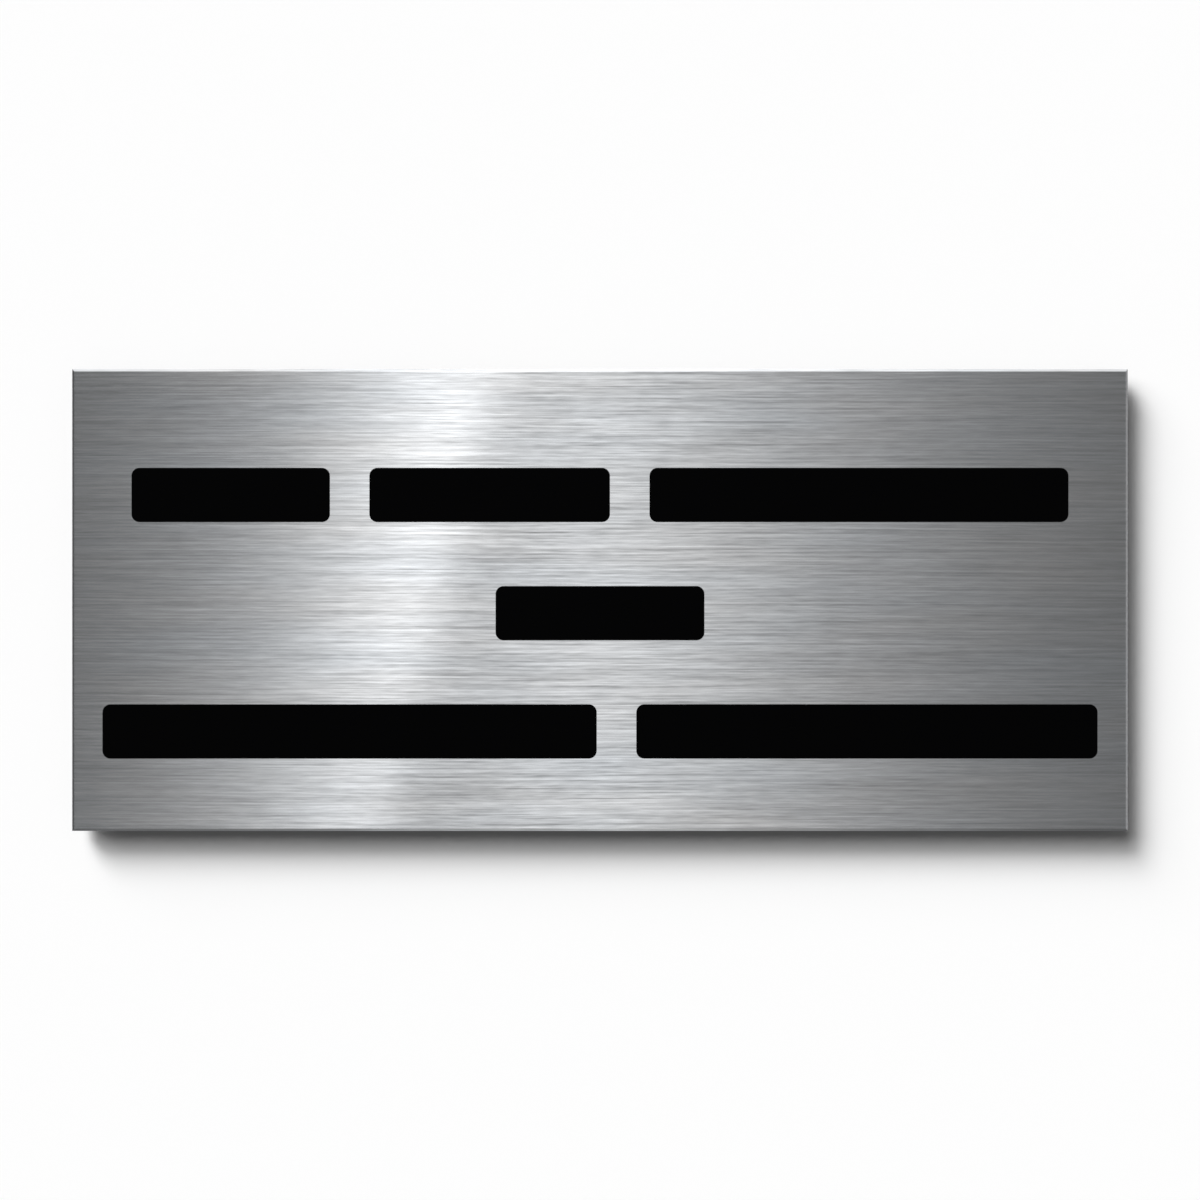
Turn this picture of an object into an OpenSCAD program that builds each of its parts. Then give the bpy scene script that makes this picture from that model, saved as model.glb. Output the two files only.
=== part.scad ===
// Self-adhesive letterbox sign: a brushed steel plate with a bevelled front face, black printing on it
// and foam tape on its back.
// The origin is the middle of the tape's outer face, where the sign meets the wall or letterbox.
// +Z is up, and the printed face looks along -Y.

/* [Plate] */
// Width of the steel plate
plate_w = 80; // [78:1:120]
// Height of the steel plate
plate_h = 35; // [32:1:60]
// Thickness of the steel plate
plate_t = 1.5; // [1:0.1:3]
// Width of the bevel round the front face
bevel = 0.2; // [0.1:0.05:0.4]

/* [Tape] */
// Distance from the edge of the foam tape to the edge of the plate
tape_inset = 5; // [2:0.5:10]
// Thickness of the foam tape
tape_t = 1; // [0.8:0.1:2]

/* [Print] */
// Thickness of the black ink
ink_t = 0.05; // [0.03:0.01:0.1]
// Height of a printed bar
bar_h = 4.1; // [3:0.1:6]
// Corner radius of a printed bar
bar_r = 0.6; // [0.2:0.1:1.4]
// Space between two bars of a row
bar_gap = 3; // [1.5:0.1:3.5]
// Distance from the middle of one row to the middle of the next
row_pitch = 8.95; // [7:0.05:9.5]
// How far the middle row lies below the plate's middle
rows_drop = 1; // [0:0.1:1.5]
// Width of the left bar in the upper row
upper_left_w = 15; // [8:0.1:18]
// Width of the middle bar in the upper row
upper_middle_w = 18.2; // [8:0.1:20]
// Width of the right bar in the upper row
upper_right_w = 31.7; // [16:0.1:34]
// Width of the only bar in the middle row
middle_w = 15.8; // [8:0.1:60]
// Width of the left bar in the lower row
lower_left_w = 37.4; // [20:0.1:38]
// Width of the right bar in the lower row
lower_right_w = 34.9; // [20:0.1:36]

/* [Hidden] */
$fn = 64;

tape_w = plate_w - 2 * tape_inset;
tape_h = plate_h - 2 * tape_inset;
plate_back_y = -tape_t;
plate_front_y = plate_back_y - plate_t;
middle_row_z = -rows_drop;

// Total of a list's values
function sum(values, i = 0) = i < len(values) ? values[i] + sum(values, i + 1) : 0;

// Total of the values before place n
function sum_before(values, n) = sum([for (i = [0:1:n - 1]) values[i]]);

// Section through the plate across one of its sides: square at the back, bevelled on both sides in front
module plate_section(side) {
    half = side / 2;
    polygon([
        [-half, plate_back_y],
        [half, plate_back_y],
        [half, plate_front_y + bevel],
        [half - bevel, plate_front_y],
        [-half + bevel, plate_front_y],
        [-half, plate_front_y + bevel],
    ]);
}

// Rectangle with round corners, centred
module round_bar_outline(w, h, r) {
    square([w - 2 * r, h], center = true);
    square([w, h - 2 * r], center = true);
    for (x = [-1, 1], y = [-1, 1])
        translate([x * (w / 2 - r), y * (h / 2 - r)])
            circle(r);
}

// One printed bar on the plate's front face, with its middle at x and z
module ink_bar(w, x, z) {
    translate([x, plate_front_y, z])
        rotate([90, 0, 0])
            linear_extrude(ink_t)
                round_bar_outline(w, bar_h, bar_r);
}

// A centred row of printed bars of the given widths
module ink_row(widths, z) {
    row_w = sum(widths) + bar_gap * (len(widths) - 1);
    for (i = [0:len(widths) - 1])
        ink_bar(
            widths[i],
            sum_before(widths, i) + bar_gap * i + widths[i] / 2 - row_w / 2,
            z
        );
}

module plate() {
    color("silver")
        intersection() {
            linear_extrude(plate_h, center = true)
                plate_section(plate_w);
            rotate([0, -90, 0])
                linear_extrude(plate_w, center = true)
                    plate_section(plate_h);
        }
}

module foam_tape() {
    color("whitesmoke")
        translate([-tape_w / 2, -tape_t, -tape_h / 2])
            cube([tape_w, tape_t, tape_h]);
}

module upper_print() {
    color("black")
        ink_row([upper_left_w, upper_middle_w, upper_right_w], middle_row_z + row_pitch);
}

module middle_print() {
    color("black")
        ink_row([middle_w], middle_row_z);
}

module lower_print() {
    color("black")
        ink_row([lower_left_w, lower_right_w], middle_row_z - row_pitch);
}

plate();
foam_tape();
upper_print();
middle_print();
lower_print();
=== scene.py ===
# %% [markdown]
# # A brushed steel sign for a letterbox
#
# The real thing is very plain: a steel plate, brushed from end to end, with black print on its face and a
# pad of foam tape behind it. So nearly all of its looks come from one finish and from how that finish
# meets the light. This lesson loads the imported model, gives each piece its finish, models the soft tape
# again as foam, and then builds the small studio in which brushed steel looks like steel.

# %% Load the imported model
import math

import bpy
import numpy as np
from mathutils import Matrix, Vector


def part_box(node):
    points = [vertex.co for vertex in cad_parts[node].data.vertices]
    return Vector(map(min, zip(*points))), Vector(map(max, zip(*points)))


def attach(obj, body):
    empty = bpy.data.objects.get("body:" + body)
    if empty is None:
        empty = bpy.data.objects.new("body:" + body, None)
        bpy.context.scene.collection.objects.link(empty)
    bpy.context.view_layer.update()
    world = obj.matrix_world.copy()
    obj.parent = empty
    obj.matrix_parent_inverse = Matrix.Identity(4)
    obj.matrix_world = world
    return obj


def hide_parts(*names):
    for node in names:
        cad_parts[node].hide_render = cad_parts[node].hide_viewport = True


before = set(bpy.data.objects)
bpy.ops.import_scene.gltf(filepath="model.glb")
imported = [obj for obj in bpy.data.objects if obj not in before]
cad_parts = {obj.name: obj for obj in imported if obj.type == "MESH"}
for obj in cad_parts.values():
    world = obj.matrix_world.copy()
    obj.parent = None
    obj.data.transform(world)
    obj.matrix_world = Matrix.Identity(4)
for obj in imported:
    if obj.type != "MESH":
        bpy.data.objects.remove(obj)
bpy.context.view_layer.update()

MM = 0.001
plate_low, plate_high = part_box("plate")
plate_size = plate_high - plate_low
front_y = plate_low.y
print("nodes:", ", ".join(sorted(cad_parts)))
print("plate in mm:", [round(side / MM, 2) for side in plate_size])

# %% [markdown]
# ## Helpers for materials
#
# A material is a small net of nodes. Written out, each node takes three or four lines, and the idea gets
# lost between them. One helper adds a node and fills or links its sockets, and the others do a sum or
# shape a curve with it, so that a finish below reads as its recipe.

# %% Helpers that add nodes
def add_node(tree, kind, inputs=None, **settings):
    """Adds one shader node. inputs maps a socket's name or number to a value, or to a node's output."""
    node = tree.nodes.new("ShaderNode" + kind)
    for name, value in settings.items():
        setattr(node, name, value)
    for socket, value in (inputs or {}).items():
        if isinstance(value, bpy.types.NodeSocket):
            tree.links.new(value, node.inputs[socket])
        else:
            node.inputs[socket].default_value = value
    return node


def calculate(tree, operation, *values):
    """The operation on one, two or three numbers or outputs, as one Math node."""
    return add_node(tree, "Math", dict(enumerate(values)), operation=operation).outputs[0]


def rise(tree, value, low, high):
    """From 0 at low to 1 at high, leaving and arriving gently."""
    limits = {"Value": value, "From Min": low, "From Max": high}
    return add_node(tree, "MapRange", limits, interpolation_type="SMOOTHSTEP").outputs[0]


def bell(tree, value, width):
    """exp(-(value / width) ^ 2): 1 at nought, and fading to nothing on both sides of it."""
    squared = calculate(tree, "POWER", calculate(tree, "DIVIDE", value, width), 2.0)
    return calculate(tree, "EXPONENT", calculate(tree, "MULTIPLY", squared, -1.0))


print("one node each: add_node, calculate, rise; one curve of several nodes: bell")

# %% Helpers that start and end a material
def new_material(name):
    """An empty material with nodes: returns it, its tree and the object's own coordinates in metres."""
    material = bpy.data.materials.new(name)
    material.use_nodes = True
    tree = material.node_tree
    tree.nodes.clear()
    place = add_node(tree, "TexCoord").outputs["Object"]
    return material, tree, place


def finish_material(tree, shader):
    """Links a shader to the material's surface."""
    output = add_node(tree, "OutputMaterial")
    tree.links.new(shader, output.inputs["Surface"])


def facing(tree, axis):
    """How squarely the surface faces along an axis, from 0 (edge-on) to 1, on either side."""
    normal = add_node(tree, "TexCoord").outputs["Normal"]
    part = add_node(tree, "SeparateXYZ", {0: normal}).outputs[axis]
    return calculate(tree, "ABSOLUTE", part)


def coat(node_names, material):
    """Gives nodes of the model one material, and leaves their meshes alone."""
    for name in node_names:
        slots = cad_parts[name].data.materials
        slots.clear()
        slots.append(material)
    print(material.name, "on", ", ".join(node_names))


print("a material starts with new_material and ends with finish_material, and coat puts it on nodes")

# %% [markdown]
# ## Brushing
#
# A belt with fine grit is run along the plate. It leaves thousands of shallow scratches, each about a
# tenth of a millimetre wide and some millimetres long. They could be modelled or painted one by one, but
# noise does it with less: read through coordinates that are squeezed along X, every soft dot of noise
# becomes a long thin line. Three lengths are added up, because real scratches aren't all alike. A slow
# wave in the height keeps the lines from looking ruled.

# %% Noise stretched into lines
LINE_WIDTH = 0.135 * MM
LINE_SETS = ((16 * MM, 0.38), (5.5 * MM, 0.38), (1.6 * MM, 0.24))
WAVE_HEIGHT = 0.4 * MM
WAVE_LENGTH = 25 * MM
SET_SHIFT = 7.3
NOISE_MEAN = 0.5


def stretched_noise(tree, place, sides, shift=0.0, detail=1.0):
    """Noise from 0 to 1 whose dots are as long along X, Y and Z as sides says. shift picks other dots."""
    scale = [1 / side for side in sides]
    moved = {"Vector": place, "Location": (shift,) * 3, "Scale": scale}
    squeezed = add_node(tree, "Mapping", moved).outputs[0]
    return add_node(tree, "TexNoise", {"Vector": squeezed, "Scale": 1.0, "Detail": detail}).outputs[0]


def swinging_noise(tree, place, sides, shift=0.0, detail=1.0):
    """The stretched noise less its mean, so that it swings about 0."""
    return calculate(tree, "SUBTRACT", stretched_noise(tree, place, sides, shift, detail), NOISE_MEAN)


def wavy(tree, place):
    """The place, with its height shifted by a slow noise, so that lines read there are slightly wavy."""
    wave = swinging_noise(tree, place, (WAVE_LENGTH,) * 3, detail=0.0)
    shift = calculate(tree, "MULTIPLY", wave, WAVE_HEIGHT)
    offset = add_node(tree, "CombineXYZ", {"Z": shift}).outputs[0]
    return add_node(tree, "VectorMath", {0: place, 1: offset}, operation="ADD").outputs[0]


def brush_lines(tree, place):
    """The weighted sum of the three sets of lines, less its mean, so that it swings about 0."""
    place = wavy(tree, place)
    total = -NOISE_MEAN
    for number, (length, weight) in enumerate(LINE_SETS):
        lines = stretched_noise(tree, place, (length, LINE_WIDTH, LINE_WIDTH), SET_SHIFT * number)
        total = calculate(tree, "MULTIPLY_ADD", lines, weight, total)
    return total


print("brush lines:", len(LINE_SETS), "lengths, each", round(LINE_WIDTH / MM, 2), "mm wide")

# %% [markdown]
# ## Steel
#
# Brushed metal mirrors the room sharply along its scratches and smears it widely across them. Principled
# BSDF has this as Anisotropic: the highlight is drawn out along the tangent. Here the tangent leans a
# little from upright, as the highlight on the real plate does.
#
# The lines change the colour most, because a scratch that faces away from the light is simply darker,
# and they change the height a little. Their contrast is painted stronger a little left of the middle,
# where the highlight falls, as a painted sheen, and weaker towards the ends. Only the front is brushed.
# The back keeps the duller finish of the rolling mill, and the cut edges have the fine marks of the cut,
# which run across the sheet's thickness.

# %% Values of the steel
STEEL_COLOUR = (0.570, 0.583, 0.597)
STEEL_ROUGHNESS = 0.165
HIGHLIGHT_LEAN = math.radians(13)
# The lines' contrast grows from the ends towards the highlight, left of the middle: a painted sheen.
CONTRAST_AT_ENDS = 0.85
CONTRAST_IN_SHEEN = 2.35
SHEEN_CONTRAST_X = -3 * MM
SHEEN_CONTRAST_WIDTH = 26 * MM
TINT = (0.030, 0.0, -0.030)
TINT_PATCH = (14 * MM, 3 * MM, 3 * MM)
LINE_DEPTH = 0.0015 * MM
MILL_ROUGHNESS = 0.34
MILL_CONTRAST = 0.35
CUT_MARK = (0.12 * MM, 4 * MM, 0.12 * MM)
CUT_CONTRAST = 0.7
EDGE_SHADE = 0.82
print("the highlight leans", round(math.degrees(HIGHLIGHT_LEAN)), "degrees from upright")

# %% Where each finish lies
MIDDLE_Y = (plate_low.y + plate_high.y) / 2
CUT_AND_BEVEL = (0.3, 0.6)


def on_front(tree):
    """1 on the brushed front and its bevels, 0 on the back."""
    place = add_node(tree, "TexCoord").outputs["Object"]
    return calculate(tree, "LESS_THAN", add_node(tree, "SeparateXYZ", {0: place}).outputs["Y"], MIDDLE_Y)


def on_cut_edge(tree):
    """1 on the four cut edges, whose facing along Y is 0, and 0 on the bevels (0.7) and faces (1)."""
    return calculate(tree, "SUBTRACT", 1.0, rise(tree, facing(tree, "Y"), *CUT_AND_BEVEL))


print("the brushed finish ends at y =", round(MIDDLE_Y / MM, 2), "mm")

# %% Brushed steel
def choose(tree, mask, where_0, where_1):
    """where_0 where the mask is 0, where_1 where it is 1, and a blend between."""
    return add_node(tree, "Mix", {"Factor": mask, "A": where_0, "B": where_1}).outputs[0]


def grain_and_sheen_contrast(tree, place):
    """Brush-line contrast: highest where the highlight falls, as a painted sheen, and lower at the ends.
    """
    along = add_node(tree, "SeparateXYZ", {0: place}).outputs["X"]
    painted_sheen = bell(tree, calculate(tree, "SUBTRACT", along, SHEEN_CONTRAST_X), SHEEN_CONTRAST_WIDTH)
    return choose(tree, painted_sheen, CONTRAST_AT_ENDS, CONTRAST_IN_SHEEN)


def steel_colour(tree, place, lines, front, cut):
    """The steel's colour times 1 + contrast * lines, with a faint drift from warm to cool."""
    contrast = choose(tree, front, MILL_CONTRAST, grain_and_sheen_contrast(tree, place))
    brushed = calculate(tree, "MULTIPLY", lines, contrast)
    marks = calculate(tree, "MULTIPLY", swinging_noise(tree, place, CUT_MARK), CUT_CONTRAST)
    swing = choose(tree, cut, brushed, marks)
    brightness = calculate(tree, "ADD", swing, choose(tree, cut, 1.0, EDGE_SHADE))
    drift = swinging_noise(tree, place, TINT_PATCH, SET_SHIFT)
    tint = add_node(tree, "VectorMath", {0: TINT, "Scale": drift}, operation="SCALE").outputs[0]
    colour = add_node(tree, "VectorMath", {0: STEEL_COLOUR, 1: tint}, operation="ADD").outputs[0]
    return add_node(tree, "VectorMath", {0: colour, "Scale": brightness}, operation="SCALE").outputs[0]


def make_steel():
    """Metal whose colour and height follow the brush lines, with its highlight drawn out at a lean."""
    material, tree, place = new_material("brushed_steel")
    lines = brush_lines(tree, place)
    front, cut = on_front(tree), on_cut_edge(tree)
    lean = {"X": math.sin(HIGHLIGHT_LEAN), "Z": math.cos(HIGHLIGHT_LEAN)}
    sockets = {
        "Base Color": steel_colour(tree, place, lines, front, cut),
        "Metallic": 1.0,
        "Roughness": choose(tree, front, MILL_ROUGHNESS, STEEL_ROUGHNESS),
        "Anisotropic": 1.0,
        "Tangent": add_node(tree, "CombineXYZ", lean).outputs[0],
        "Normal": add_node(tree, "Bump", {"Height": lines, "Distance": LINE_DEPTH}).outputs[0],
    }
    finish_material(tree, add_node(tree, "BsdfPrincipled", sockets).outputs[0])
    return material


coat(["plate"], make_steel())

# %% [markdown]
# ## Print
#
# The print is a layer of black ink, thinner than a hair. It is nearly as dark as black gets, so it needs
# almost no colour, only a weak soft gloss. The brushing below it shows through in that gloss, so the same
# lines are used again, in its height and in its roughness.

# %% Black ink
INK_COLOUR = (0.0006, 0.0006, 0.0007, 1.0)
INK_ROUGHNESS = 0.46
INK_GLOSS = 0.02
INK_ROUGHNESS_SWING = 0.25


def make_ink():
    """Black satin ink, whose gloss follows the brush lines that lie under it."""
    material, tree, place = new_material("black_ink")
    lines = brush_lines(tree, place)
    sockets = {
        "Base Color": INK_COLOUR,
        "Roughness": calculate(tree, "MULTIPLY_ADD", lines, INK_ROUGHNESS_SWING, INK_ROUGHNESS),
        "Specular IOR Level": INK_GLOSS,
        "Normal": add_node(tree, "Bump", {"Height": lines, "Distance": LINE_DEPTH}).outputs[0],
    }
    finish_material(tree, add_node(tree, "BsdfPrincipled", sockets).outputs[0])
    return material


coat(["upper_print", "middle_print", "lower_print"], make_ink())

# %% [markdown]
# ## Foam tape: its shape
#
# The tape is cut from a roll of foam a millimetre thick that is sticky on both sides. Two things tell the
# eye that it is soft: its corners are a little round, and its cut sides are pulled in between the two
# sticky faces. A cube with a bevel could show the first, but not the second.
#
# So it is worked out as a surface. One function gives the outline, a rectangle with round corners,
# together with the direction that points out of it at each point. A second one carries a profile round
# that outline: it moves in by some depth and along the thickness by another. The two flat faces are the
# same outline, shrunk towards the middle.

# %% Outline with round corners
CORNER_RADIUS = 0.8 * MM
CORNER_STEPS = 9
SIDE_STEP = 1.0 * MM


def round_rectangle(width, height, radius):
    """Points and outward directions of a rectangle with round corners, anticlockwise from the front.

    On a corner a point is the corner's centre + radius * direction, with direction = (cos a, sin a). A
    straight side joins two corners by equal steps, and its direction stays that of its ends.
    """
    points, directions = [], []
    signs = np.array([(1, 1), (-1, 1), (-1, -1), (1, -1)])
    centres = signs * (width / 2 - radius, height / 2 - radius)
    for number, centre in enumerate(centres):
        turn = np.linspace(0, np.pi / 2, CORNER_STEPS) + number * np.pi / 2
        corner = np.stack([np.cos(turn), np.sin(turn)], axis=1)
        next_start = centres[(number + 1) % len(centres)] + radius * corner[-1]
        this_end = centre + radius * corner[-1]
        steps = round(np.linalg.norm(next_start - this_end) / SIDE_STEP)
        share = (np.arange(1, steps) / steps)[:, None]
        points += [centre + radius * corner, this_end + share * (next_start - this_end)]
        directions += [corner, np.repeat(corner[-1:], steps - 1, axis=0)]
    return np.concatenate(points), np.concatenate(directions)


tape_low, tape_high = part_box("foam_tape")
tape_size = tape_high - tape_low
outline, outward = round_rectangle(tape_size.x, tape_size.z, CORNER_RADIUS)
print("outline of the tape:", len(outline), "points")

# %% Profile of the foam tape
LIP_RADIUS = 0.07 * MM
LIP_STEPS = 5
SIDE_PULL = 0.16 * MM
SIDE_STEPS = 14
PULL_SWING = 0.35
SWING_WAVES = ((5, 0.6), (13, 0.4))
FACE_SHARES = np.array([0.2, 0.4, 0.6, 0.8, 0.93, 0.985])


def side_profile(thickness):
    """Inset, pull and height of the cut side, from one face to the other.

    Each lip is a quarter circle: inset = radius * (1 - sin t), height = radius * (1 - cos t). Between the
    lips the pull is sin(pi * share) ^ 2, so that it leaves and reaches a lip straight.
    """
    turn = np.linspace(0, np.pi / 2, LIP_STEPS)
    lip_inset, lip_height = LIP_RADIUS * (1 - np.sin(turn)), LIP_RADIUS * (1 - np.cos(turn))
    share = np.linspace(0, 1, SIDE_STEPS)[1:-1]
    between = LIP_RADIUS + share * (thickness - 2 * LIP_RADIUS)
    inset = np.concatenate([lip_inset, 0 * share, lip_inset[::-1]])
    pull = np.concatenate([0 * turn, np.sin(np.pi * share) ** 2, 0 * turn])
    height = np.concatenate([lip_height, between, thickness - lip_height[::-1]])
    return inset, pull, height


def pull_round(count):
    """The pull times 1 + two waves round the outline, because foam isn't squeezed evenly."""
    around = np.linspace(0, 2 * np.pi, count, endpoint=False)
    waves = sum(weight * np.sin(number * around + number) for number, weight in SWING_WAVES)
    return SIDE_PULL * (1 + PULL_SWING * waves)


def tape_rings():
    """Rings of points over the face on the plate from its middle, over the side, and over the other face.

    A point of the side is outline - depth * outward, where depth is inset + pull. A point of a face is a
    share of the side's first or last ring.
    """
    inset, pull, height = side_profile(tape_size.y)
    depth = inset[:, None] + np.outer(pull, pull_round(len(outline)))
    side = outline - depth[..., None] * outward
    near = FACE_SHARES[:, None, None] * side[0]
    far = FACE_SHARES[::-1, None, None] * side[-1]
    rings = np.concatenate([near, side, far])
    heights = tape_low.y + np.concatenate([0 * FACE_SHARES, height, 0 * FACE_SHARES + tape_size.y])
    return rings, heights


rings, heights = tape_rings()
print("rings of the tape:", rings.shape[0], "of", rings.shape[1], "points")

# %% Mesh of the foam tape
def grid_faces(ring_count, point_count):
    """Four-cornered faces between each ring and the next, closed round the outline."""
    ring, point = np.meshgrid(np.arange(ring_count - 1), np.arange(point_count), indexing="ij")
    beside = (point + 1) % point_count
    corners = [ring * point_count + point, (ring + 1) * point_count + point]
    corners += [(ring + 1) * point_count + beside, ring * point_count + beside]
    return np.stack(corners, axis=-1).reshape(-1, 4)


def cap_faces(pole, first, point_count, outward_last):
    """Three-cornered faces from a pole to the ring that starts at first, wound to face outwards."""
    point = np.arange(point_count)
    beside = (point + 1) % point_count
    pair = (beside, point) if outward_last else (point, beside)
    return np.stack([np.full(point_count, pole), first + pair[0], first + pair[1]], axis=-1)


def make_tape():
    """The foam tape as one closed mesh: both faces close in a pole at the middle."""
    count, around = rings.shape[:2]
    height = np.repeat(heights[:, None], around, axis=1)
    shell = np.stack([rings[..., 0], height, rings[..., 1]], axis=-1).reshape(-1, 3)
    poles = [(0, tape_low.y, 0), (0, tape_high.y, 0)]
    near_pole, far_pole = len(shell), len(shell) + 1
    last_ring = (count - 1) * around
    faces = grid_faces(count, around).tolist()
    faces += cap_faces(near_pole, 0, around, False).tolist()
    faces += cap_faces(far_pole, last_ring, around, True).tolist()
    mesh = bpy.data.meshes.new("foam_pad")
    mesh.from_pydata(np.concatenate([shell, poles]).tolist(), [], faces)
    mesh.polygons.foreach_set("use_smooth", np.ones(len(mesh.polygons), bool))
    pad = bpy.data.objects.new("foam_pad", mesh)
    bpy.context.scene.collection.objects.link(pad)
    return pad


foam_pad = make_tape()
print("foam pad:", len(foam_pad.data.polygons), "faces")

# %% [markdown]
# ## Foam tape: its finish
#
# Foam is a mass of tiny bubbles. Where the knife went through it, the bubbles are open, and the side is
# matt and pitted. A Voronoi texture is a good likeness, because its cells meet in thin walls, as bubbles
# do. Each open bubble is a dent in the height, and its colour is darkened as painted shade in the dent.
# The faces are coated with glue, which fills the bubbles: there they only shine through, as faint dents
# with faint painted shade, and the coating has a weak sheen, with streaks along the roll and a skin a
# little like orange peel. So one mask, how squarely the surface faces along Y, leads from one finish to
# the other.

# %% Closed-cell foam
FOAM_COLOUR = (0.80, 0.80, 0.78, 1.0)
# Painted shade: the darker colour put into the open bubbles, where shade would fall.
PIT_SHADE = (0.44, 0.44, 0.42, 1.0)
GLUE_COLOUR = (0.69, 0.69, 0.65, 1.0)
BUBBLE = 0.17 * MM
BUBBLE_DEPTH = 0.05 * MM
BUBBLE_WALL = (0.02, 0.30)
PITS_UNDER_GLUE = 0.22
PEEL = (0.9 * MM, 0.9 * MM, 0.6 * MM)
PEEL_SHARE = 0.8
GLUE_STREAK = (9 * MM, 1 * MM, 0.45 * MM)
GLUE_BLOTCH = (6 * MM, 6 * MM, 4 * MM)
FOAM_ROUGHNESS = 0.9
GLUE_ROUGHNESS = 0.38
GLUE_ROUGHNESS_SWING = 0.30
SIDE_AND_FACE = (0.75, 0.95)
FIRST_COLOUR, SECOND_COLOUR, MIXED_COLOUR = 6, 7, 2


def mix_colours(tree, factor, first, second):
    """first where the factor is 0, second where it is 1, and a blend between.

    The Mix node has a socket A, B and Result for each kind of value, so those for colour go by number.
    """
    colours = {"Factor": factor, FIRST_COLOUR: first, SECOND_COLOUR: second}
    return add_node(tree, "Mix", colours, data_type="RGBA").outputs[MIXED_COLOUR]


def bubble_pits(tree, place):
    """1 in the middle of a bubble, falling to 0 on the walls between bubbles."""
    cells = {"Vector": place, "Scale": 1 / BUBBLE}
    edge = add_node(tree, "TexVoronoi", cells, feature="DISTANCE_TO_EDGE").outputs["Distance"]
    return rise(tree, edge, *BUBBLE_WALL)


def make_foam():
    """White foam: pitted and matt on the cut sides, under a thin coat of glue on the faces."""
    material, tree, place = new_material("closed_cell_foam")
    on_face = rise(tree, facing(tree, "Y"), *SIDE_AND_FACE)
    pit_share = choose(tree, on_face, 1.0, PITS_UNDER_GLUE)
    pit_depth_and_shade = calculate(tree, "MULTIPLY", bubble_pits(tree, place), pit_share)
    glue = calculate(tree, "MULTIPLY", on_face, stretched_noise(tree, place, GLUE_BLOTCH))
    streaks = swinging_noise(tree, place, GLUE_STREAK, SET_SHIFT)
    glue_roughness = calculate(tree, "MULTIPLY_ADD", streaks, GLUE_ROUGHNESS_SWING, GLUE_ROUGHNESS)
    skin = mix_colours(tree, glue, FOAM_COLOUR, GLUE_COLOUR)
    peel_share = calculate(tree, "MULTIPLY", on_face, PEEL_SHARE)
    peel = calculate(tree, "MULTIPLY", stretched_noise(tree, place, PEEL), peel_share)
    height = calculate(tree, "SUBTRACT", peel, pit_depth_and_shade)
    sockets = {
        # The open bubbles darken the colour here: painted shade.
        "Base Color": mix_colours(tree, pit_depth_and_shade, skin, PIT_SHADE),
        "Roughness": choose(tree, on_face, FOAM_ROUGHNESS, glue_roughness),
        "Normal": add_node(tree, "Bump", {"Height": height, "Distance": BUBBLE_DEPTH}).outputs[0],
    }
    finish_material(tree, add_node(tree, "BsdfPrincipled", sockets).outputs[0])
    return material


foam_pad.data.materials.append(make_foam())
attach(foam_pad, "root")
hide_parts("foam_tape")
print("foam pad in place of foam_tape")

# %% [markdown]
# ## Wall and floor
#
# The sign sticks to something pale, so that gets a wall behind it, and there is a floor below for the
# views from other sides. Both are painted here, from one short function.
#
# A wall would hide the back of the sign, so its paint can only be seen from the front: from behind, the
# shader is transparent. The tape touches the wall, and light that is caught in the crack between them
# would go to and fro until it glows, so very short rays pass through the paint too.
#
# Wall and floor take the sign's shadow, but they don't show in its steel, because what the steel mirrors
# is painted into the world further down. The wall throws light back onto the sign, as it does in the
# photograph. The floor, which isn't in the photograph, throws none.

# %% Pale wall and floor
REACH = 2.0
WALL_Y = 0.02 * MM
FLOOR_Z = -0.20
TOUCH = 0.1 * MM
WALL_COLOUR = (0.98, 0.98, 0.98, 1.0)
FLOOR_COLOUR = (0.83, 0.83, 0.83, 1.0)


def make_paint(name, colour):
    """Matt paint on the front of a surface, and nothing on its back or for a ray shorter than TOUCH."""
    material, tree, _ = new_material(name)
    paint = add_node(tree, "BsdfDiffuse", {"Color": colour}).outputs[0]
    clear = add_node(tree, "BsdfTransparent").outputs[0]
    on_back = add_node(tree, "NewGeometry").outputs["Backfacing"]
    touching = calculate(tree, "LESS_THAN", add_node(tree, "LightPath").outputs["Ray Length"], TOUCH)
    nothing = calculate(tree, "MAXIMUM", on_back, touching)
    finish_material(tree, add_node(tree, "MixShader", {0: nothing, 1: paint, 2: clear}).outputs[0])
    return material


def make_screen(name, corners, colour, lights_others):
    """One flat stage piece. Its corners go anticlockwise, seen from its front.

    With lights_others it throws light back onto matt surfaces.
    """
    mesh = bpy.data.meshes.new(name)
    mesh.from_pydata(corners, [], [(0, 1, 2, 3)])
    mesh.materials.append(make_paint(name, colour))
    screen = bpy.data.objects.new(name, mesh)
    bpy.context.scene.collection.objects.link(screen)
    screen.visible_glossy = screen.visible_transmission = screen.visible_shadow = False
    screen.visible_diffuse = lights_others
    print(name, "faces", [round(part) for part in mesh.polygons[0].normal])


square = ((-REACH, -REACH), (REACH, -REACH), (REACH, REACH), (-REACH, REACH))
wall_corners = [(x, WALL_Y, max(z, FLOOR_Z)) for x, z in square]
floor_corners = [(x, y, FLOOR_Z) for x, y in square]
make_screen("wall", wall_corners, WALL_COLOUR, lights_others=True)
make_screen("floor", floor_corners, FLOOR_COLOUR, lights_others=False)

# %% [markdown]
# ## Camera
#
# The photograph looks at the plate squarely: its left and right edges are equally tall. The plate is
# 1055.5 of the photograph's 1200 pixels wide. Its widest outline is the foot of the bevel, so that is
# where the view has to have this width, and with the lens it gives the distance.

# %% Camera
PHOTO_SIDE = 1200
PLATE_PIXELS = 1055.5
BEVEL = 0.2 * MM
LENS = 60
NEAREST = 0.01
LEVEL = math.radians(90)

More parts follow.
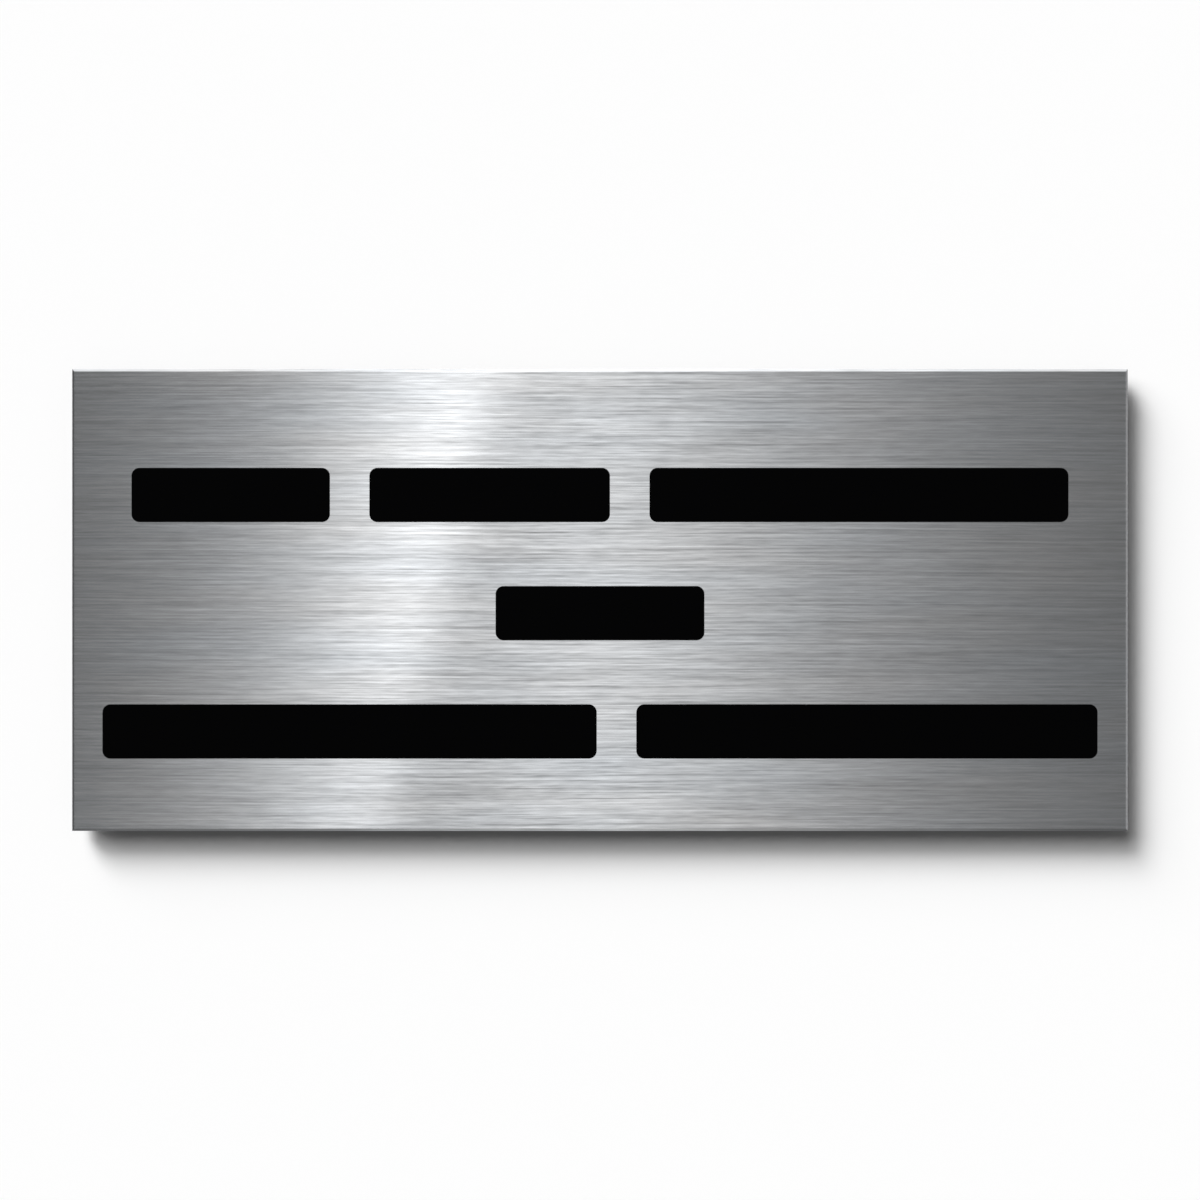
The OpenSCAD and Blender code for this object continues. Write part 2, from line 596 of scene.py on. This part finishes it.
camera_data = bpy.data.cameras.new("camera")
camera_data.lens = LENS
camera_data.clip_start = NEAREST
camera = bpy.data.objects.new("camera", camera_data)
bpy.context.scene.collection.objects.link(camera)
bpy.context.scene.camera = camera
view_width = plate_size.x * PHOTO_SIDE / PLATE_PIXELS
camera_distance = view_width * LENS / camera_data.sensor_width
camera.location = (0, front_y + BEVEL - camera_distance, 0)
camera.rotation_euler = (LEVEL, 0, 0)
bpy.context.scene.view_settings.view_transform = "Standard"
print("camera stands", round((camera_distance - BEVEL) / MM, 1), "mm in front of the plate")

# %% [markdown]
# ## Lamps
#
# The shadow says where the light comes from and how wide it is. It lies below the plate and to its right,
# so the light comes from above and from the left. It is darkest at the plate's edge and fades out over a
# few millimetres, quickly at first and then slowly, so there is a wide lamp and a still wider one a
# little below it. A sun lamp does this without any care for distances. Two more stand behind the wall's
# face, where they can't reach the front: one shows the back of the sign, and one the tape's right side.
#
# All lamps are kept out of reflections. Steel would show a lamp as a hard disc, and a studio for metal
# hides its lamps behind large pale screens for that reason.

# %% Lamps
KEY_TOWARDS = (-0.874, -1.0, 1.20)
KEY_ANGLE = math.radians(23.3)
KEY_STRENGTH = 2.13
WIDE_TOWARDS = (-0.885, -1.0, 0.98)
WIDE_ANGLE = math.radians(52)
WIDE_STRENGTH = 2.82
REAR_TOWARDS = (-0.45, 0.9, 0.28)
REAR_ANGLE = math.radians(60)
REAR_STRENGTH = 2.1
SIDE_TOWARDS = (1.0, 0.42, 0.12)
SIDE_ANGLE = math.radians(36)
SIDE_STRENGTH = 2.0


def add_lamp(name, towards, angle, strength):
    """A sun lamp in the direction towards, as wide as angle, that lights surfaces but isn't mirrored."""
    data = bpy.data.lights.new(name, "SUN")
    data.angle = angle
    data.energy = strength
    lamp = bpy.data.objects.new(name, data)
    lamp.rotation_euler = Vector(towards).to_track_quat("Z", "Y").to_euler()
    lamp.visible_glossy = False
    bpy.context.scene.collection.objects.link(lamp)
    print(name, "is", round(math.degrees(angle)), "degrees wide")


add_lamp("key", KEY_TOWARDS, KEY_ANGLE, KEY_STRENGTH)
add_lamp("wide", WIDE_TOWARDS, WIDE_ANGLE, WIDE_STRENGTH)
add_lamp("rear", REAR_TOWARDS, REAR_ANGLE, REAR_STRENGTH)
add_lamp("side", SIDE_TOWARDS, SIDE_ANGLE, SIDE_STRENGTH)

# %% [markdown]
# ## Studio
#
# A flat sheet of metal shows nothing but its room, so the room has to be designed. The steel here mirrors
# a pale glow straight ahead that falls off evenly to both sides, and a long soft strip of light that
# hangs beside it at a slant, with a sharp right edge and a soft left one. There is a brighter ceiling,
# which lights up the upper bevel, a dimmer floor, which dulls the lower one, and a paler wall at the far
# right, which lights up the right one. Two more glows, far out to the sides, keep the steel alive when it
# is seen from an angle.
#
# All of that is one formula of the direction in which a ray leaves, painted into the world. Only what the
# metal shows to the camera is made of it. The camera sees plain white, and matt surfaces get a little
# even light, which keeps the shadow from going black. Light that a matt surface gets by way of the metal
# is part of that even light too, or the strip would throw bright patches on the wall.

# %% Values of the studio
WHITE = (1.0, 1.0, 1.0, 1.0)
AMBIENT = 0.087
ROOM = 0.10
GLOW = 1.20
GLOW_X = -0.004
GLOW_WIDTH = 0.112
SIDE_GLOW = 0.75
SIDE_GLOW_X = 0.66
SIDE_GLOW_WIDTH = 0.16
RIGHT_WALL = 0.34
RIGHT_WALL_X = (0.8, 0.95)
CEILING = 1.10
FLOOR_SHARE = 0.74
STEEP = (0.5, 0.95)
STRIP = 1.37
STRIP_ACROSS = -0.081
STRIP_ALONG = 0.10
STRIP_LENGTH = 0.37
STRIP_LEFT_WIDTH = 0.061
STRIP_RIGHT_WIDTH = 0.004
STRIP_POWER = 1.3
half_plate = plate_size.x / 2
mirrored_reach = half_plate / math.hypot(half_plate, camera_distance)
print("the plate mirrors directions with x up to", round(mirrored_reach, 2), "on each side")


# %% Formulas of the studio
def glow_ahead(tree, x):
    """ROOM + GLOW * exp(-|x - GLOW_X| / GLOW_WIDTH): a peak straight ahead, the same at every height."""
    away = calculate(tree, "ABSOLUTE", calculate(tree, "SUBTRACT", x, GLOW_X))
    fall = calculate(tree, "EXPONENT", calculate(tree, "DIVIDE", away, -GLOW_WIDTH))
    return calculate(tree, "MULTIPLY_ADD", fall, GLOW, ROOM)


def side_glows(tree, x):
    """A soft bell round SIDE_GLOW_X on each side, and a paler wall at the far right."""
    away = calculate(tree, "SUBTRACT", calculate(tree, "ABSOLUTE", x), SIDE_GLOW_X)
    sides = calculate(tree, "MULTIPLY", bell(tree, away, SIDE_GLOW_WIDTH), SIDE_GLOW)
    return calculate(tree, "MULTIPLY_ADD", rise(tree, x, *RIGHT_WALL_X), RIGHT_WALL, sides)


def strip_light(tree, x, y, z):
    """STRIP * exp(-(across / width) ^ STRIP_POWER) * bell(along), in front.

    across = x * cos lean - z * sin lean - STRIP_ACROSS
    along = x * sin lean + z * cos lean - STRIP_ALONG
    """
    sine, cosine = math.sin(HIGHLIGHT_LEAN), math.cos(HIGHLIGHT_LEAN)
    across = calculate(tree, "MULTIPLY_ADD", z, -sine, -STRIP_ACROSS)
    across = calculate(tree, "MULTIPLY_ADD", x, cosine, across)
    along = calculate(tree, "MULTIPLY_ADD", z, cosine, -STRIP_ALONG)
    along = calculate(tree, "MULTIPLY_ADD", x, sine, along)
    on_right = calculate(tree, "GREATER_THAN", across, 0.0)
    width = choose(tree, on_right, STRIP_LEFT_WIDTH, STRIP_RIGHT_WIDTH)
    share = calculate(tree, "DIVIDE", calculate(tree, "ABSOLUTE", across), width)
    power = calculate(tree, "POWER", share, STRIP_POWER)
    fall = calculate(tree, "EXPONENT", calculate(tree, "MULTIPLY", power, -1.0))
    strip = calculate(tree, "MULTIPLY", fall, bell(tree, along, STRIP_LENGTH))
    in_front = calculate(tree, "LESS_THAN", y, 0.0)
    return calculate(tree, "MULTIPLY", calculate(tree, "MULTIPLY", strip, STRIP), in_front)


print("the glow ahead fades from", round(ROOM + GLOW, 2), "to", ROOM, "and the strip adds", STRIP)


# %% World
def make_studio():
    """Glows, dimmed below, + ceiling + strip for metal, white for the camera, and dim for all else."""
    world = bpy.data.worlds.new("studio")
    world.use_nodes = True
    tree = world.node_tree
    tree.nodes.clear()
    direction = add_node(tree, "TexCoord").outputs["Generated"]
    x, y, z = add_node(tree, "SeparateXYZ", {0: direction}).outputs
    glows = calculate(tree, "ADD", glow_ahead(tree, x), side_glows(tree, x))
    below = rise(tree, calculate(tree, "MULTIPLY", z, -1.0), *STEEP)
    glows = calculate(tree, "MULTIPLY", glows, choose(tree, below, 1.0, FLOOR_SHARE))
    mirrored = calculate(tree, "MULTIPLY_ADD", rise(tree, z, *STEEP), CEILING, glows)
    mirrored = calculate(tree, "ADD", mirrored, strip_light(tree, x, y, z))
    path = add_node(tree, "LightPath").outputs
    straight = calculate(tree, "LESS_THAN", path["Diffuse Depth"], 1.0)
    from_metal = calculate(tree, "MULTIPLY", path["Is Glossy Ray"], straight)
    seen = choose(tree, path["Is Camera Ray"], choose(tree, from_metal, AMBIENT, mirrored), 1.0)
    light = add_node(tree, "Background", {"Color": WHITE, "Strength": seen}).outputs[0]
    tree.links.new(light, add_node(tree, "OutputWorld").inputs["Surface"])
    return world


bpy.context.scene.world = make_studio()
print("studio:", len(bpy.context.scene.world.node_tree.nodes), "nodes")
